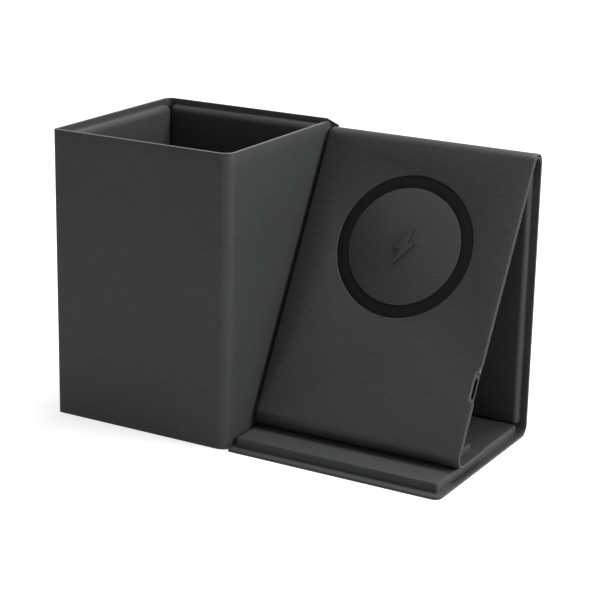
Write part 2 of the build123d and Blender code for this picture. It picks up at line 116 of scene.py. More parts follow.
def cut_all(axis, places):
    """Cuts the whole open piece square to an axis at each of some places."""
    for place in places:
        bpy.ops.mesh.select_all(action="SELECT")
        cut([place * share for share in axis], axis)


def face_towards(direction, test):
    """Joins the open sheet up, and turns it so that the faces that pass a test look in a direction."""
    bpy.ops.mesh.select_all(action="SELECT")
    bpy.ops.mesh.delete_loose()
    bpy.ops.mesh.select_all(action="SELECT")
    bpy.ops.mesh.remove_doubles(threshold=0.005 * MM)
    bpy.ops.mesh.normals_make_consistent(inside=False)
    pick("faces", test)
    faces = [face for face in bmesh.from_edit_mesh(bpy.context.object.data).faces if face.select]
    facing = sum(face.normal.dot(Vector(direction)) for face in faces)
    bpy.ops.mesh.select_all(action="SELECT")
    if facing < 0:
        bpy.ops.mesh.flip_normals()


def give(piece, kind, **settings):
    """Gives a piece a modifier and applies it."""
    modifier = piece.modifiers.new(kind, kind)
    for name, value in settings.items():
        setattr(modifier, name, value)
    bpy.ops.object.modifier_apply(modifier=modifier.name)


def thicken(piece, thickness, finishes, rim=rim_r, seams=()):
    """Closes the open sheet to its real thickness behind its faces, and softens its cut edges, but not
    those in the planes where it runs on into the next sheet. Each plane is a point and a normal."""
    bpy.ops.object.mode_set(mode="OBJECT")
    for finish in finishes:
        piece.data.materials.append(finish)
    give(
        piece,
        "SOLIDIFY",
        thickness=thickness * MM,
        offset=-1,
        use_even_offset=True,
        material_offset_rim=1,
    )
    bpy.ops.object.mode_set(mode="EDIT")
    pick(
        "edges",
        lambda m, edge: edge.calc_face_angle(0) > 1
        and not any(
            near(max(abs((end.co / MM - Vector(point)).dot(Vector(normal))) for end in edge.verts), 0)
            for point, normal in seams
        ),
    )
    bpy.ops.mesh.bevel(offset=rim * MM, segments=2, affect="EDGES", clamp_overlap=True)
    bpy.ops.object.mode_set(mode="OBJECT")
    bpy.ops.object.shade_smooth_by_angle(angle=radians(40))


def colour(hex_code):
    """Turns an sRGB hex value to linear."""
    shares = [int(hex_code[place : place + 2], 16) / 255 for place in (1, 3, 5)]
    return (*(s / 12.92 if s <= 0.04045 else ((s + 0.055) / 1.055) ** 2.4 for s in shares), 1)


def add_node(tree, kind, inputs, **settings):
    """Adds a node with its settings, and fills each of its inputs with a value or a link."""
    node = tree.nodes.new(kind)
    for name, value in settings.items():
        setattr(node, name, value)
    for name, value in inputs.items():
        if isinstance(value, bpy.types.NodeSocket):
            tree.links.new(value, node.inputs[name])
        else:
            node.inputs[name].default_value = value
    return node.outputs


def noise(tree, place, grain, detail):
    """A noise whose grains are of a size."""
    inputs = {"Vector": place, "Scale": 1 / (grain * MM), "Detail": detail}
    return add_node(tree, "ShaderNodeTexNoise", inputs)[0]


def tint_between(tree, share, dark, light):
    """A colour between two tints, by a share."""
    inputs = {0: share, 6: colour(dark), 7: colour(light)}
    return add_node(tree, "ShaderNodeMix", inputs, data_type="RGBA")[2]


def press_in(tree, height, strength, depth):
    """A normal that shows a pattern pressed in to a depth."""
    inputs = {"Height": height, "Strength": strength, "Distance": depth * MM}
    return add_node(tree, "ShaderNodeBump", inputs)[0]


def new_material(name, **shader):
    """A new material with its shader's own sockets set, and the place on the object for patterns."""
    material = bpy.data.materials.new(name)
    material.use_nodes = True
    bsdf = material.node_tree.nodes["Principled BSDF"]
    for socket, value in shader.items():
        bsdf.inputs[socket.replace("_", " ")].default_value = value
    place = add_node(material.node_tree, "ShaderNodeTexCoord", {})["Object"]
    return material, material.node_tree, bsdf.inputs, place


# Charcoal PU leatherette with a brushed grain pressed in: short fine streaks along the sheet over a leather
# pebble. The real streaks are finer still and are drawn as coarse as they need to show. The eye gets a dull
# dark grey with a faint horizontal brush, and a soft glow where it bends.
streak_length, streak_height, pebble, cloud = 4.5, 0.35, 0.5, 30.0
lengthwise, crosswise = 1 / (streak_length * MM), 1 / (streak_height * MM)


def leatherette(name, dark, light, streak_scale):
    """The leatherette between two tints, its streaks stretched by a scale on each axis."""
    material, tree, shader, place = new_material(name)
    shader["Specular IOR Level"].default_value = 0.2
    streak_place = add_node(tree, "ShaderNodeMapping", {"Vector": place, "Scale": streak_scale})[0]
    streaks = add_node(
        tree, "ShaderNodeTexNoise", {"Vector": streak_place, "Scale": 1.0, "Detail": 3.0}
    )[0]
    clouds = noise(tree, place, cloud, 2.0)
    pebbles = add_node(tree, "ShaderNodeTexVoronoi", {"Vector": place, "Scale": 1 / (pebble * MM)})[0]
    streak_share = add_node(
        tree, "ShaderNodeMapRange", {"Value": streaks, "From Min": 0.34, "From Max": 0.66}
    )[0]
    cloud_share = add_node(
        tree,
        "ShaderNodeMapRange",
        {"Value": clouds, "From Min": 0.3, "From Max": 0.7, "To Min": -0.2, "To Max": 0.2},
    )[0]
    share = add_node(
        tree, "ShaderNodeMath", {0: streak_share, 1: cloud_share}, operation="ADD", use_clamp=True
    )[0]
    tint = tint_between(tree, share, dark, light)
    gloss = add_node(tree, "ShaderNodeMapRange", {"Value": streaks, "To Min": 0.52, "To Max": 0.42})[0]
    pebble_bump = press_in(tree, pebbles, 0.15, 0.05)
    streak_bump = add_node(
        tree,
        "ShaderNodeBump",
        {"Height": streaks, "Strength": 0.3, "Distance": 0.08 * MM, "Normal": pebble_bump},
    )[0]
    tree.links.new(tint, shader["Base Color"])
    tree.links.new(gloss, shader["Roughness"])
    tree.links.new(streak_bump, shader["Normal"])
    return material


wall_leatherette = leatherette(
    "brushed_PU_leatherette_walls", "#2f3231", "#373a39", (lengthwise, lengthwise, crosswise)
)
panel_leatherette = leatherette(
    "brushed_PU_leatherette_panels", "#2f3231", "#373a39", (lengthwise, crosswise, crosswise)
)
lining_leatherette = leatherette(
    "brushed_PU_leatherette_lining", "#2f312f", "#373937", (lengthwise, lengthwise, crosswise)
)

# Cut edges of the sheets: the textile back and the glue line of the leatherette, cut through. They show as
# a thin grey line drawn in two copies: a light one with a painted highlight along the front and the right
# of the pen box, where the edges catch the light, and a dark one with painted shade elsewhere. The fibres
# are drawn about 0.4 mm long.
fibre = 0.4


def edge_finish(name, dark, light):
    """A cut edge between two tints."""
    material, tree, shader, place = new_material(name, Roughness=0.7)
    fibres = noise(tree, place, fibre, 2.0)
    tint = tint_between(tree, fibres, dark, light)
    bump = press_in(tree, fibres, 0.4, 0.05)
    tree.links.new(tint, shader["Base Color"])
    tree.links.new(bump, shader["Normal"])
    return material


# Two copies of one grey cut edge: the light one holds a painted highlight, the dark one painted shade.
cut_edge_with_painted_highlight = edge_finish("cut_edge_grey_with_painted_highlight", "#4f504e", "#6b6c68")
cut_edge_with_painted_shade = edge_finish("cut_edge_grey_with_painted_shade", "#3a3b39", "#4b4c49")


def paint_shade_on_rear_edges(piece):
    """Gives a finished wrap's cut edges along the left and the back of the pen box and on its tab the dark
    copy of the cut edge: painted shade.
    """
    piece.data.materials.append(cut_edge_with_painted_shade)
    bpy.ops.object.mode_set(mode="EDIT")
    pick(
        "faces",
        lambda m, face: face.material_index == 1
        and (m.x < x_left + 2 or m.y > y_back - 2 or m.x > x_box - 1 and m.y > tab_y - tab_r),
    )
    piece.active_material_index = 2
    bpy.ops.object.material_slot_assign()
    bpy.ops.object.mode_set(mode="OBJECT")



def draw_wrap(name, start_x, inset, pad_stops):
    """Draws a sheet's path round the pen box as seen from above, at an inset from the outside of its cover,
    with a stop at each end of the left and the front wall's pad."""
    (left_back, left_front), (front_left, front_right) = pad_stops
    corner_x = x_left + back_left_r
    piece = add(
        "plane",
        name,
        at=((start_x + corner_x) / 2, y_back - inset, height / 2),
        by=(start_x - corner_x, height, 1),
        turned=(90, 0, 180),
        size=1,
    )
    pick("edges", lambda m, edge: near(m.x, corner_x))
    turn((corner_x, y_back - back_left_r, 0), 90, 8)
    run(y=left_back - (y_back - back_left_r))
    run(y=left_front - left_back)
    run(y=y_front + front_left_r - left_front)
    turn((x_left + front_left_r, y_front + front_left_r, 0), 90, 6)
    run(x=front_left - (x_left + front_left_r))
    run(x=front_right - front_left)
    run(x=x_box - front_right_r - front_right)
    turn((x_box - front_right_r, y_front + front_right_r, 0), 90, 10)
    run(y=tab_y - tab_r - (y_front + front_right_r))
    turn((x_box + tab_r, tab_y - tab_r, 0), -90, 10)
    run(x=tab_width)
    return piece


def trim_wrap():
    """Cuts the open wrap's tab clear of the base below it and slopes its top down behind the stand."""
    slope_end = x_stand - tab_end_gap
    cut_all((0, 0, 1), (tab_foot, tab_top))
    pick("faces", lambda m, face: m.x > x_box - sheet_t - 1 and 25 < m.y < y_back - 3)
    cut((x_box, 0, 0), (1, 0, 0))
    pick("faces", lambda m, face: m.x > x_box and m.y < y_back - 3)
    cut((slope_end, 0, 0), (1, 0, 0))
    pick("faces", lambda m, face: x_box < m.x < slope_end and m.y < y_back - 3 and m.z > tab_top)
    cut((x_box, 0, height), (tab_slope, 0, slope_end - x_box), clear=True)
    pick(
        "faces",
        lambda m, face: m.x > x_box
        and m.y < y_back - 3
        and (m.z < tab_foot or m.z > tab_top and m.x > slope_end),
    )
    bpy.ops.mesh.delete(type="FACE")


wall_t = 4.0
crease = 0.25
left_pad = (y_back - wall_t - crease, y_front + wall_t + crease)
front_pad = (x_left + wall_t + crease, x_box - front_right_r)
right_pad = (y_front + front_right_r, y_back - wall_t - crease)

case_wrap = draw_wrap("case_wrap", x_right, 0, (left_pad, front_pad))
trim_wrap()
# The back sheet is lower beside the box: it slopes down to the stand's fold and ends at the base's fold
cut_all((0, 0, 1), (base_fold_r, stand_fold_z))
for place in (slope_x, x_box, x_stand):
    pick("faces", lambda m, face: near(m.y, y_back))
    cut((place, 0, 0), (1, 0, 0))
pick("faces", lambda m, face: near(m.y, y_back) and slope_x < m.x < x_stand and m.z > stand_fold_z)
cut((slope_x, 0, height), (height - stand_fold_z - stand_fold_r, 0, x_stand - slope_x), clear=True)
pick(
    "faces",
    lambda m, face: near(m.y, y_back)
    and (m.x > x_box and m.z < base_fold_r or m.x > x_stand and m.z > stand_fold_z),
)
bpy.ops.mesh.delete(type="FACE")
face_towards((0, -1, 0), lambda m, face: near(m.y, y_front))
back_seams = (((0, 0, base_fold_r), (0, 0, 1)), ((0, 0, stand_fold_z), (0, 0, 1)))
thicken(case_wrap, cover_t, (wall_leatherette, cut_edge_with_painted_highlight), seams=back_seams)
paint_shade_on_rear_edges(case_wrap)
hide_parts("case_cover")
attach(case_wrap, "case")

# Lining of the pen box: a second sheet of leatherette inside the cover, pressed down over the left, front
# and right walls' boards, so that each wall has a flat welded margin and a raised pad with soft shoulders.
box_margin = 2.3
wall_shoulder_r, crease_r = 2.8, 0.8
shoulder_r, foot_r = 2.0, 0.4
pad_rise = wall_t - sheet_t
pad_z = (box_margin, height - box_margin)


def raise_pad(test, **step):
    """Raises the faces that pass a test into a pad."""
    pick("faces", test)
    run(**step)


def soften(radius, test=lambda m, edge: True, convex=True, segments=6):
    """Rounds the sheet's pressed edges that pass a test: its shoulders, or with convex off its hollows."""
    pick(
        "edges",
        lambda m, edge: len(edge.link_faces) == 2
        and edge.calc_face_angle() > 1
        and edge.is_convex == convex
        and test(m, edge),
    )
    bpy.ops.mesh.bevel(offset=radius * MM, segments=segments, affect="EDGES", clamp_overlap=True)


def along(z):
    """A test for the edges that run along a pad's top or bottom at a height."""
    return lambda m, edge: near(m.z, z) and edge.calc_length() > (pad_rise + 0.1) * MM


lining_start = x_left + wall_t + crease
wall_lining = draw_wrap("wall_lining", lining_start, sheet_t, (left_pad, front_pad))
trim_wrap()
cut_all((0, 0, 1), pad_z)
face_towards((0, 1, 0), lambda m, face: near(m.y, y_front + sheet_t))
raise_pad(
    lambda m, face: near(m.x, x_left + sheet_t)
    and left_pad[1] < m.y < left_pad[0]
    and pad_z[0] < m.z < pad_z[1],
    x=pad_rise,
)
raise_pad(
    lambda m, face: near(m.y, y_front + sheet_t)
    and front_pad[0] < m.x < front_pad[1]
    and pad_z[0] < m.z < pad_z[1],
    y=pad_rise,
)
raise_pad(
    lambda m, face: near(m.x, x_box - sheet_t)
    and right_pad[0] < m.y < tab_y - tab_r
    and pad_z[0] < m.z < pad_z[1],
    x=-pad_rise,
)
# The right wall's board runs on past the start of the tab's turn
raise_pad(
    lambda m, face: near(m.y, tab_y - tab_r) and m.x < x_box - sheet_t,
    y=right_pad[1] - (tab_y - tab_r),
)
pick("faces", lambda m, face: near(m.x, x_box - sheet_t) and tab_y - tab_r < m.y < right_pad[1])
bpy.ops.mesh.delete(type="FACE")
soften(wall_shoulder_r, along(pad_z[1]))
soften(shoulder_r, along(pad_z[0]))
soften(crease_r, segments=3)
thicken(wall_lining, lining_t, (lining_leatherette, cut_edge_with_painted_highlight))
paint_shade_on_rear_edges(wall_lining)
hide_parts("box_lining")
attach(wall_lining, "case")

# Lining of the back panel: one sheet over the back board behind the pen box and the charging stand, lower
# behind the stand, where the panel folds over into it.
side_margin = 2.8
bay_z, rear_r = (4.9, 104.3), 0.3
box_pad_x = (lining_start, x_box - wall_t - crease)

back_skin = add(
    "plane",
    "back_skin",
    at=((lining_start + x_right) / 2, y_back - sheet_t, height / 2),
    by=(x_right - lining_start, height, 1),
    turned=(90, 0, 0),
    size=1,
)
cut_all((0, 0, 1), (base_fold_r, stand_fold_z, *pad_z, *bay_z))
cut_all((1, 0, 0), (box_pad_x[1], x_right - side_margin))
pick("faces", lambda m, face: m.x > box_pad_x[1] and (m.z < base_fold_r or m.z > stand_fold_z))
bpy.ops.mesh.delete(type="FACE")
face_towards((0, -1, 0), lambda m, face: True)
raise_pad(
    lambda m, face: m.x < box_pad_x[1]
    and pad_z[0] < m.z < pad_z[1]
    or m.x < x_right - side_margin
    and bay_z[0] < m.z < bay_z[1],
    y=-pad_rise,
)
soften(wall_shoulder_r, along(pad_z[1]))
soften(shoulder_r, along(pad_z[0]))
soften(
    shoulder_r,
    lambda m, edge: along(bay_z[1])(m, edge) or near(m.x, x_right - side_margin) and near(m.y, y_back_face),
)
soften(rear_r, segments=3)
thicken(back_skin, lining_t, (lining_leatherette, cut_edge_with_painted_shade), seams=back_seams)
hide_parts("back_lining")
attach(back_skin, "case")

# Charging stand's face: the cover runs on over the top fold and down the slope, cut open for the charging
# ring, with its right edge trimmed in a little on the way down and notched for the plug. It is drawn flat,
# with x across, y down the slope and z into the stand, and then stood on its slope.
tilt = radians(28)
stand_length = 112.471
stand_turn = 152
stand_middle = (x_stand + x_right) / 2
ring_drop, ring_hole_r = 39.5, 28.05
stand_taper, taper_reach = 0.9, 75.0
x_trim = x_right - stand_taper
notch_edge, notch_top, notch_foot = 81.45, 82.471, 92.271
notch_upper_slope, notch_lower_slope = 3.9, 1.0
fold_steps = 24
down_slope = Vector((0, -sin(tilt), -cos(tilt)))
into_stand = Vector((0, cos(tilt), -sin(tilt)))
stand_top = Vector((0, stand_fold_y, stand_fold_z)) - into_stand * stand_fold_r
stand_place = Matrix((Vector((1, 0, 0)), down_slope, into_stand)).transposed().to_4x4()
stand_place.translation = stand_top * MM


def draw_slope(name, depth):
    """Draws the stand's sheet flat at a depth under its face, trimmed and notched, with no fold."""
    piece = add(
        "plane",
        name,
        at=(stand_middle, stand_length / 2, depth),
        by=(x_right - x_stand, stand_length, 1),
        size=1,
    )
    cut_all((1, 0, 0), (notch_edge,))
    for point, normal in (
        ((0, taper_reach, 0), (0, 1, 0)),
        ((notch_edge, notch_top, 0), (notch_upper_slope, x_trim - notch_edge, 0)),
        ((notch_edge, notch_foot, 0), (-notch_lower_slope, x_trim - notch_edge, 0)),
    ):
        pick("faces", lambda m, face: m.x > notch_edge)
        cut(point, normal)
    pick("faces", lambda m, face: m.x > notch_edge and m.y > taper_reach)
    cut((x_trim, 0, 0), (1, 0, 0))
    pick("faces", lambda m, face: m.x > notch_edge and m.y < taper_reach)
    cut((x_right, 0, 0), (taper_reach, stand_taper, 0))
    pick(
        "faces",
        lambda m, face: m.x > x_trim or m.x > notch_edge and notch_top < m.y < notch_foot,
    )
    bpy.ops.mesh.delete(type="FACE")
    return piece


def stand_up(piece):
    """Lays a finished flat piece on the stand's slope."""
    piece.matrix_world = stand_place
    bpy.ops.object.transform_apply(location=True, rotation=True, scale=True)


stand_skin = draw_slope("stand_skin", 0)
pick("faces", lambda m, face: m.x < notch_edge)
bpy.ops.mesh.delete(type="ONLY_FACE")
bpy.ops.mesh.primitive_circle_add(
    vertices=128, radius=ring_hole_r * MM, location=Vector((stand_middle, ring_drop, 0)) * MM
)
pick("edges", lambda m, edge: m.x < notch_edge + 0.01)
bpy.ops.mesh.fill(use_beauty=True)
pick("edges", lambda m, edge: near(m.y, 0))
turn((0, 0, stand_fold_r), -stand_turn, fold_steps, axis=(1, 0, 0))
face_towards((0, 0, -1), lambda m, face: near(m.z, 0))
stand_seams = (
    ((0, 0, stand_fold_r), (0, cos(radians(stand_turn)), -sin(radians(stand_turn)))),
    ((0, stand_length, 0), (0, 1, 0)),
)
thicken(stand_skin, cover_t, (panel_leatherette, cut_edge_with_painted_shade), seams=stand_seams)
stand_up(stand_skin)
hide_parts("stand_cover", "stand_fold")
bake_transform(stand_skin)

# Charging ring: a thin ring of black silicone, laid in the round window lower than the face.
ring_outer_r, ring_inner_r, ring_t = 28.0, 23.0, 0.3
silicone, tree, shader, place = new_material("matte_silicone_black", Roughness=0.7, Specular_IOR_Level=0.1)
silicone_dust = noise(tree, place, 0.5, 3.0)
silicone_tint = tint_between(tree, silicone_dust, "#0d0d0d", "#131313")
silicone_bump = press_in(tree, silicone_dust, 0.2, 0.03)
tree.links.new(silicone_tint, shader["Base Color"])
tree.links.new(silicone_bump, shader["Normal"])

silicone_ring = add(
    "circle",
    "silicone_ring",
    at=(stand_middle, ring_drop, cover_t - ring_t),
    by=as_drawn,
    vertices=128,
    radius=ring_outer_r * MM,
    fill_type="NGON",
)
pick("faces", lambda m, face: True)
bpy.ops.mesh.inset(thickness=(ring_outer_r - ring_inner_r) * MM)
bpy.ops.mesh.delete(type="FACE")
face_towards((0, 0, -1), lambda m, face: True)
thicken(silicone_ring, ring_t, (silicone, silicone), rim=0.06)
stand_up(silicone_ring)
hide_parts("charging_ring")
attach(silicone_ring, "stand")

# Charging disc: the round of the cover's own sheet inside the ring, with a plain lightning bolt pressed in.
bolt_width, bolt_height, bolt_depth, disc_gap = 6.4, 11.0, 0.25, 0.05
bolt_shares = ((1 / 2, 1), (-1, -1 / 6), (-1 / 8, -1 / 6), (-1 / 2, -1), (1, 1 / 6), (1 / 8, 1 / 6))
disc_skin = add(
    "circle",
    "disc_skin",
    at=(stand_middle, ring_drop, 0),
    by=as_drawn,
    vertices=6,
    radius=bolt_width / 2 * MM,
    fill_type="NGON",
)
bolt_mesh = bmesh.from_edit_mesh(disc_skin.data)
for corner, (side, rise) in zip(bolt_mesh.verts, bolt_shares):
    corner.co = Vector((stand_middle + side * bolt_width / 2, ring_drop - rise * bolt_height / 2, 0)) * MM
bmesh.update_edit_mesh(disc_skin.data)
bpy.ops.mesh.select_all(action="SELECT")
run(z=bolt_depth)
bpy.ops.mesh.primitive_circle_add(
    vertices=128, radius=(ring_inner_r - disc_gap) * MM, location=Vector((stand_middle, ring_drop, 0)) * MM
)
pick("edges", lambda m, edge: near(m.z, 0) and len(edge.link_faces) < 2)
bpy.ops.mesh.fill(use_beauty=True)
face_towards((0, 0, -1), lambda m, face: near(m.z, 0))
thicken(disc_skin, cover_t, (panel_leatherette, cut_edge_with_painted_shade))
bpy.ops.object.mode_set(mode="EDIT")
pick("verts", lambda m, vert: m.z > cover_t)
bpy.ops.transform.resize(value=(1, 1, 0), center_override=(0, 0, cover_t * MM))
bpy.ops.object.mode_set(mode="OBJECT")
stand_up(disc_skin)
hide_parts("charging_disc")
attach(disc_skin, "stand")

# Lining of the stand: pressed over the board that holds the charger, with an opening in its right shoulder
# for the charger's nose.
stand_pad_x, stand_pad_y, stand_pad_rise = (-0.05, 81.35), (4.4, 105.971), 4.8
nose_x, nose_y = (79.35, 86.0), (81.5, 93.2)
stand_back = draw_slope("stand_back", sheet_t)
cut_all((1, 0, 0), stand_pad_x)
cut_all((0, 1, 0), stand_pad_y)
face_towards((0, 0, 1), lambda m, face: True)
raise_pad(
    lambda m, face: stand_pad_x[0] < m.x < stand_pad_x[1] and stand_pad_y[0] < m.y < stand_pad_y[1],
    z=stand_pad_rise,
)
soften(shoulder_r)
soften(foot_r, lambda m, edge: m.x < stand_pad_x[1] - 1, convex=False, segments=2)
pick("edges", lambda m, edge: near(m.y, 0) and len(edge.link_faces) == 1)
turn((0, 0, stand_fold_r), -stand_turn, fold_steps, axis=(1, 0, 0))
face_towards((0, 0, 1), lambda m, face: near(m.z, sheet_t + stand_pad_rise))
thicken(stand_back, lining_t, (lining_leatherette, cut_edge_with_painted_shade), seams=stand_seams)
nose_cutter = add(
    "cube",
    "nose_cutter",
    at=(sum(nose_x) / 2, sum(nose_y) / 2, (cover_t - 0.2 + sheet_t + stand_pad_rise - lining_t) / 2),
    by=(nose_x[1] - nose_x[0], nose_y[1] - nose_y[0], stand_pad_rise + 0.2),
    size=1,
)
bpy.ops.object.mode_set(mode="OBJECT")
bpy.ops.object.select_all(action="DESELECT")
stand_back.select_set(True)
bpy.context.view_layer.objects.active = stand_back
give(stand_back, "BOOLEAN", object=nose_cutter, operation="DIFFERENCE", solver="MANIFOLD")
bpy.data.objects.remove(nose_cutter)
stand_up(stand_back)
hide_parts("stand_lining")
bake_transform(stand_back)

# Flap under the stand: the face's sheet turns under at the foot fold and lies on the base. Its lining is
# pressed over a thin board with magnets in it.
flap_z, foot_fold_r, foot_turn = 4.9, 4.4, 118
foot_y, flap_end, corner_r = -17.325, 2.475, 3.0
flap_pad_x, flap_pad_y, flap_rise = (2.15, 78.25), (-10.825, -0.525), 2.0
ledge_r, ledge_foot_r = 0.7, 0.35
foot_hinge = Vector((0, foot_y, flap_z + foot_fold_r))


def draw_leaf(name, x_ends, y_ends, z):
    """Draws a flat sheet on the level."""
    return add(
        "plane",
        name,
        at=(sum(x_ends) / 2, sum(y_ends) / 2, z),
        by=(x_ends[1] - x_ends[0], y_ends[1] - y_ends[0], 1),
        size=1,
    )


def round_corners(test):
    """Rounds the open sheet's corners that pass a test."""
    pick("verts", lambda m, vert: test(m) and len(vert.link_edges) == 2)
    bpy.ops.mesh.bevel(offset=corner_r * MM, segments=8, affect="VERTICES")


def turn_foot():
    """Bends the open flap's rear edge round the fold, up to the stand."""
    pick("edges", lambda m, edge: near(m.y, foot_y) and len(edge.link_faces) == 1)
    turn(foot_hinge, -foot_turn, fold_steps, axis=(1, 0, 0))


flap_skin = draw_leaf("flap_skin", (x_stand, x_trim), (foot_y, flap_end), flap_z)
round_corners(lambda m: near(m.y, flap_end))
turn_foot()
face_towards((0, 0, -1), lambda m, face: near(m.z, flap_z))
thicken(flap_skin, cover_t, (panel_leatherette, panel_leatherette), seams=((foot_hinge, down_slope),))
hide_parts("flap_cover", "foot_fold")
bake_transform(flap_skin)

flap_top = draw_leaf("flap_top", (x_stand, x_trim), (foot_y, flap_end), flap_z + sheet_t)
round_corners(lambda m: near(m.y, flap_end))
cut_all((1, 0, 0), flap_pad_x)
cut_all((0, 1, 0), flap_pad_y)
face_towards((0, 0, 1), lambda m, face: True)
raise_pad(
    lambda m, face: flap_pad_x[0] < m.x < flap_pad_x[1] and flap_pad_y[0] < m.y < flap_pad_y[1],
    z=flap_rise,
)
soften(ledge_r)
soften(ledge_foot_r, convex=False, segments=2)
turn_foot()
face_towards((0, 0, 1), lambda m, face: near(m.z, flap_z + sheet_t + flap_rise))
thicken(flap_top, lining_t, (lining_leatherette, lining_leatherette), seams=((foot_hinge, down_slope),))
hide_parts("flap_lining")
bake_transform(flap_top)

# Base under the stand: the cover's bottom panel, joined to the back panel by the rear fold. Its lining is
# pressed over a thick board, which makes the ledge in front of the stand.
base_x, base_y = (-4.45, x_right), (y_front, 35.0)
base_pad_x, base_pad_y, base_rise = (-3.65, 81.35), (-35.2, 35.0), 3.5
ledge_rear_r = 0.2
base_hinge = Vector((0, base_y[1], base_fold_r))
base_skin = draw_leaf("base_skin", base_x, base_y, 0)
round_corners(lambda m: near(m.y, y_front) and near(m.x, x_right))
pick("edges", lambda m, edge: near(m.y, base_y[1]))
turn(base_hinge, 90, fold_steps, axis=(1, 0, 0))
face_towards((0, 0, -1), lambda m, face: near(m.z, 0))
# The base's cut edges take the leatherette's darker tone instead of the grey cut edge: painted shade along
# its bottom edge.
thicken(base_skin, cover_t, (panel_leatherette, panel_leatherette), seams=back_seams)
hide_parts("base_cover", "base_fold")
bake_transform(base_skin)

base_top = draw_leaf("base_top", base_x, base_y, sheet_t)
round_corners(lambda m: near(m.y, y_front) and near(m.x, x_right))
cut_all((1, 0, 0), base_pad_x)
cut_all((0, 1, 0), base_pad_y[:1])
face_towards((0, 0, 1), lambda m, face: True)
raise_pad(
    lambda m, face: base_pad_x[0] < m.x < base_pad_x[1] and m.y > base_pad_y[0],
    z=base_rise,
)
soften(ledge_r, lambda m, edge: m.y < base_y[1] - 1)
soften(ledge_rear_r, lambda m, edge: near(m.y, base_y[1]), segments=3)
soften(ledge_foot_r, convex=False, segments=2)
pick(
    "edges",
    lambda m, edge: near(m.y, base_y[1]) and near(m.z, sheet_t) and len(edge.link_faces) == 1,
)
turn(base_hinge, 90, fold_steps, axis=(1, 0, 0))
face_towards((0, 0, 1), lambda m, face: near(m.z, sheet_t + base_rise))
thicken(base_top, lining_t, (panel_leatherette, panel_leatherette), seams=back_seams)
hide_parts("base_lining")
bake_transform(base_top)

# Floor flap of the pen box: a board between two sheets of leatherette, cut flush all round. It lies on a
# strip glued to the front wall, and lifts on a tape at its rear edge.
floor_x, floor_y, floor_z = (-79.65, -9.25), (-35.0, 34.6), 6.6
floor_cover_t, floor_board_t = 0.5, 2.1
floor_top_z = floor_z + floor_cover_t + floor_board_t + lining_t
floor_skin = draw_leaf("floor_skin", floor_x, floor_y, floor_z)
face_towards((0, 0, -1), lambda m, face: True)
thicken(floor_skin, floor_cover_t, (lining_leatherette, cut_edge_with_painted_shade))
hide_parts("floor_cover")
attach(floor_skin, "floor")

floor_top = draw_leaf("floor_top", floor_x, floor_y, floor_top_z)
face_towards((0, 0, 1), lambda m, face: True)
thicken(floor_top, lining_t, (lining_leatherette, cut_edge_with_painted_shade))
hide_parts("floor_lining")
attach(floor_top, "floor")

# Hinge tape of the floor flap: black cotton twill tape, one leg glued to the back panel and one to the
# flap. Its threads lie 0.4 mm apart, and the eye gets a dull black with a fine slant.
tape_t, tape_leg, thread = 0.4, 7.0, 0.4


def wave_scale(pitch):
    """The scale of a wave pattern whose lines lie a pitch apart."""
    return 2 * 3.1416 / (20 * pitch * MM)


floor_hinge = Vector((sum(floor_x) / 2, y_back_face - tape_t, floor_top_z + tape_t))
twill, tree, shader, place = new_material("cotton_twill_tape_black", Roughness=0.9, Sheen_Weight=0.2)
ribs = add_node(
    tree,
    "ShaderNodeTexWave",
    {"Vector": place, "Scale": wave_scale(thread), "Distortion": 0.5, "Detail": 1.0},
    bands_direction="DIAGONAL",
)[0]
twill_tint = tint_between(tree, ribs, "#161616", "#2a2a2a")
twill_bump = press_in(tree, ribs, 0.5, 0.1)
tree.links.new(twill_tint, shader["Base Color"])
tree.links.new(twill_bump, shader["Normal"])

hinge_tape = draw_leaf("hinge_tape", floor_x, (y_back_face - tape_leg, floor_hinge.y), floor_hinge.z)
pick("edges", lambda m, edge: near(m.y, floor_hinge.y))
run(z=floor_top_z + tape_leg - floor_hinge.z)
face_towards((0, 0, 1), lambda m, face: near(m.z, floor_hinge.z))
thicken(hinge_tape, tape_t, (twill, twill), rim=0.1)
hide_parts("floor_tape")
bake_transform(hinge_tape)


def finish_parts(material, *names):
    """Gives a material to parts of the frame that stay as they are."""
    for name in names:
        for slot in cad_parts[name].material_slots:
            slot.material = material


# Boards: greyboard pressed from waste paper, die cut and glued between the sheets. It gives the eye a warm
# grey with short fibres and dark flecks, drawn 1.2 and 0.6 mm long.
fibre_length, fleck = 1.2, 0.6
greyboard, tree, shader, place = new_material("greyboard_pressed", Roughness=0.9)
pulp = noise(tree, place, fibre_length, 4.0)
flecks = add_node(tree, "ShaderNodeTexVoronoi", {"Vector": place, "Scale": 1 / (fleck * MM)})[0]
fleck_share = add_node(
    tree, "ShaderNodeMapRange", {"Value": flecks, "From Min": 0.05, "From Max": 0.18}
)[0]
pulp_tint = tint_between(tree, pulp, "#8b8276", "#a39a8c")
board_tint = add_node(
    tree, "ShaderNodeMix", {0: fleck_share, 6: colour("#6f675c"), 7: pulp_tint}, data_type="RGBA"
)[2]
pulp_bump = press_in(tree, pulp, 0.4, 0.1)
tree.links.new(board_tint, shader["Base Color"])
tree.links.new(pulp_bump, shader["Normal"])
finish_parts(greyboard, "back_board", "left_board", "front_board", "right_board", "base_board")
finish_parts(greyboard, "stand_board", "flap_board", "floor_board", "floor_rest")

# Charger shells: two flat mouldings of black ABS that clip together inside the stand, with a spark-eroded
# surface whose grain of about 0.2 mm keeps them dull.
moulded_abs, tree, shader, place = new_material("moulded_ABS_black", Roughness=0.7, Specular_IOR_Level=0.25)
erosion = noise(tree, place, 0.2, 2.0)
abs_tint = tint_between(tree, erosion, "#1b1b1c", "#242425")
abs_bump = press_in(tree, erosion, 0.3, 0.02)
tree.links.new(abs_tint, shader["Base Color"])
tree.links.new(abs_bump, shader["Normal"])
finish_parts(moulded_abs, "charger_front_shell", "charger_rear_shell")

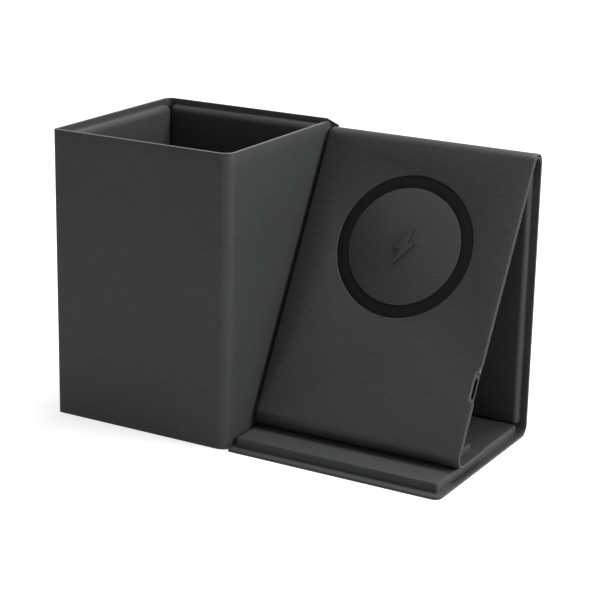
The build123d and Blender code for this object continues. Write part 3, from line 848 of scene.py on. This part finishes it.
# Magnets and strike plate: sintered magnets with bright nickel plating, a ring of them in the charger and a
# row in the flap, and a plate of rolled steel in the base that they catch. Both shine softly.
nickel, tree, shader, place = new_material("bright_nickel_plating", Metallic=1.0)
plating = noise(tree, place, 1.5, 3.0)
nickel_tint = tint_between(tree, plating, "#c4c2bd", "#d6d4cf")
nickel_gloss = add_node(tree, "ShaderNodeMapRange", {"Value": plating, "To Min": 0.18, "To Max": 0.34})[0]
tree.links.new(nickel_tint, shader["Base Color"])
tree.links.new(nickel_gloss, shader["Roughness"])
finish_parts(nickel, "ring_magnets", "flap_magnets")

rolled_steel, tree, shader, place = new_material("rolled_sheet_steel", Metallic=1.0)
rolling_place = add_node(
    tree, "ShaderNodeMapping", {"Vector": place, "Scale": (1 / (8 * MM), 1 / (0.3 * MM), 1 / (0.3 * MM))}
)[0]
rolling = add_node(tree, "ShaderNodeTexNoise", {"Vector": rolling_place, "Scale": 1.0, "Detail": 3.0})[0]
steel_tint = tint_between(tree, rolling, "#a8a9a9", "#c2c3c3")
steel_gloss = add_node(tree, "ShaderNodeMapRange", {"Value": rolling, "To Min": 0.3, "To Max": 0.45})[0]
tree.links.new(steel_tint, shader["Base Color"])
tree.links.new(steel_gloss, shader["Roughness"])
finish_parts(rolled_steel, "strike_plate", "coil_shield")

# Charging coil: a flat spiral of enamelled copper wire 0.8 mm thick, glued on the ferrite. The turns show
# as fine rings round the middle of the stand's ring.
wire = 0.8
copper, tree, shader, place = new_material("enamelled_copper_wire", Metallic=1.0, Roughness=0.3)
coil_place = add_node(
    tree,
    "ShaderNodeMapping",
    {
        "Vector": place,
        "Location": stand_place @ (Vector((stand_middle, ring_drop, 0)) * MM),
        "Rotation": stand_place.to_euler(),
    },
    vector_type="TEXTURE",
)[0]
turns = add_node(
    tree,
    "ShaderNodeTexWave",
    {"Vector": coil_place, "Scale": wave_scale(wire)},
    wave_type="RINGS",
    rings_direction="Z",
)[0]
copper_tint = tint_between(tree, turns, "#6d3518", "#c98350")
copper_bump = press_in(tree, turns, 0.8, 0.3)
tree.links.new(copper_tint, shader["Base Color"])
tree.links.new(copper_bump, shader["Normal"])
finish_parts(copper, "charging_coil")

# Ferrite sheet: pressed and sintered, behind the coil. It is a dark matte grey with a grain of about
# 0.5 mm, and is glued to the shield.
ferrite, tree, shader, place = new_material("sintered_ferrite", Roughness=0.55)
grains = noise(tree, place, 0.5, 3.0)
ferrite_tint = tint_between(tree, grains, "#2e2e30", "#3e3e41")
tree.links.new(ferrite_tint, shader["Base Color"])
finish_parts(ferrite, "ferrite_sheet")

# Circuit board: glass fibre laminate under green solder mask, with copper tracks 0.4 mm wide that show
# through as lighter lines. It lies on the rear shell.
track = 0.4
solder_mask, tree, shader, place = new_material("solder_mask_green", Roughness=0.3)
tracks = add_node(
    tree,
    "ShaderNodeTexBrick",
    {
        "Vector": place,
        "Color1": colour("#0c3a1f"),
        "Color2": colour("#0e4324"),
        "Mortar": colour("#2c6b3c"),
        "Scale": 1 / (6 * track * MM),
        "Mortar Size": 0.06,
        "Brick Width": 1.4,
        "Row Height": 0.5,
    },
)[0]
tree.links.new(tracks, shader["Base Color"])
finish_parts(solder_mask, "circuit_board")

# Driver chip and row of capacitors, soldered on the board: a package of black epoxy moulding compound, and
# blocks of fired tan ceramic.
epoxy, tree, shader, place = new_material("epoxy_moulding_compound", Roughness=0.6)
fill = noise(tree, place, 0.15, 2.0)
epoxy_tint = tint_between(tree, fill, "#1a1a1b", "#262627")
tree.links.new(epoxy_tint, shader["Base Color"])
finish_parts(epoxy, "driver_chip")

fired_ceramic, tree, shader, place = new_material("fired_ceramic_tan", Roughness=0.45)
mottle = noise(tree, place, 0.3, 2.0)
ceramic_tint = tint_between(tree, mottle, "#a67c52", "#b98e62")
tree.links.new(ceramic_tint, shader["Base Color"])
finish_parts(fired_ceramic, "capacitors")

# USB-C socket: a drawn steel shell with black nickel plating, soldered on the board, which gives the eye a
# dark soft shine, and in it a black liquid crystal polymer blade with gold plated contacts, 0.5 mm apart.
black_nickel, tree, shader, place = new_material("black_nickel_plating", Metallic=1.0)
drawing = noise(tree, place, 0.8, 3.0)
black_tint = tint_between(tree, drawing, "#2b2c2f", "#36373a")
black_gloss = add_node(tree, "ShaderNodeMapRange", {"Value": drawing, "To Min": 0.42, "To Max": 0.5})[0]
tree.links.new(black_tint, shader["Base Color"])
tree.links.new(black_gloss, shader["Roughness"])
finish_parts(black_nickel, "socket_shell")

contact_pitch = 0.5
tongue, tree, shader, place = new_material("polymer_tongue_with_gold_contacts", Roughness=0.35)
contact_place = add_node(
    tree,
    "ShaderNodeMapping",
    {"Vector": place, "Location": stand_place.translation, "Rotation": stand_place.to_euler()},
    vector_type="TEXTURE",
)[0]
contacts = add_node(
    tree,
    "ShaderNodeTexWave",
    {"Vector": contact_place, "Scale": wave_scale(contact_pitch)},
    bands_direction="Y",
)[0]
contact_share = add_node(
    tree, "ShaderNodeMapRange", {"Value": contacts, "From Min": 0.45, "From Max": 0.55}
)[0]
tongue_tint = tint_between(tree, contact_share, "#151515", "#a08748")
tree.links.new(tongue_tint, shader["Base Color"])
tree.links.new(contact_share, shader["Metallic"])
finish_parts(tongue, "socket_tongue")

# Stage: a plain white floor under plain soft studio light. What the camera and glossy surfaces see of it is
# white, and the object's shadow stays on it.
bpy.ops.object.select_all(action="DESELECT")
bpy.ops.mesh.primitive_plane_add(size=6)
floor = bpy.context.object
floor.name = "studio_floor"
floor_paint, tree, shader, place = new_material("white_floor", Roughness=0.9, Specular_IOR_Level=0.0)
shader["Base Color"].default_value = (0.65, 0.65, 0.65, 1)
floor.data.materials.append(floor_paint)

world = bpy.data.worlds.new("studio")
bpy.context.scene.world = world
world.use_nodes = True


def white_share(tree, unseen, seen):
    """A strength that is one value where the scene is lit, and another where it is seen."""
    rays = add_node(tree, "ShaderNodeLightPath", {})
    shown = add_node(
        tree, "ShaderNodeMath", {0: rays["Is Camera Ray"], 1: rays["Is Glossy Ray"]}, operation="MAXIMUM"
    )[0]
    shown = add_node(
        tree, "ShaderNodeMath", {0: shown, 1: rays["Is Transmission Ray"]}, operation="MAXIMUM"
    )[0]
    return add_node(tree, "ShaderNodeMapRange", {"Value": shown, "To Min": unseen, "To Max": seen})[0]


background = world.node_tree.nodes["Background"].inputs
background["Color"].default_value = (1, 1, 1, 1)
world.node_tree.links.new(white_share(world.node_tree, 0.39, 1.0), background["Strength"])
shader["Emission Color"].default_value = (1, 1, 1, 1)
tree.links.new(white_share(tree, 0.0, 0.65), shader["Emission Strength"])


def add_lamp(name, place, aim, size, power):
    """A soft square lamp that points at a place on the object."""
    lamp = bpy.data.lights.new(name, "AREA")
    lamp.size = size
    lamp.energy = power
    holder = bpy.data.objects.new(name, lamp)
    bpy.context.scene.collection.objects.link(holder)
    holder.location = place
    holder.rotation_euler = (Vector(aim) - Vector(place)).to_track_quat("-Z", "Y").to_euler()


add_lamp("top_soft_box", (0.1, 0.3, 0.9), (0, 0, 0.05), 0.4, 8.9)
add_lamp("right_soft_box", (0.95, 0.1, 0.45), (0, 0, 0.05), 0.35, 8.8)

# Camera at the photograph's place and angle
camera = bpy.data.cameras.new("camera")
camera.lens = 111.247
camera_holder = bpy.data.objects.new("camera", camera)
bpy.context.scene.collection.objects.link(camera_holder)
camera_holder.matrix_world = Matrix.LocRotScale(
    Vector((341.88, -596.35, 261.53)) * MM,
    (
        Matrix.Rotation(radians(29.591), 3, "Z")
        @ Matrix.Rotation(radians(90 - 17.038), 3, "X")
        @ Matrix.Rotation(radians(1.135), 3, "Z")
    ),
    None,
)
bpy.context.scene.camera = camera_holder
bpy.context.scene.view_settings.view_transform = "Standard"
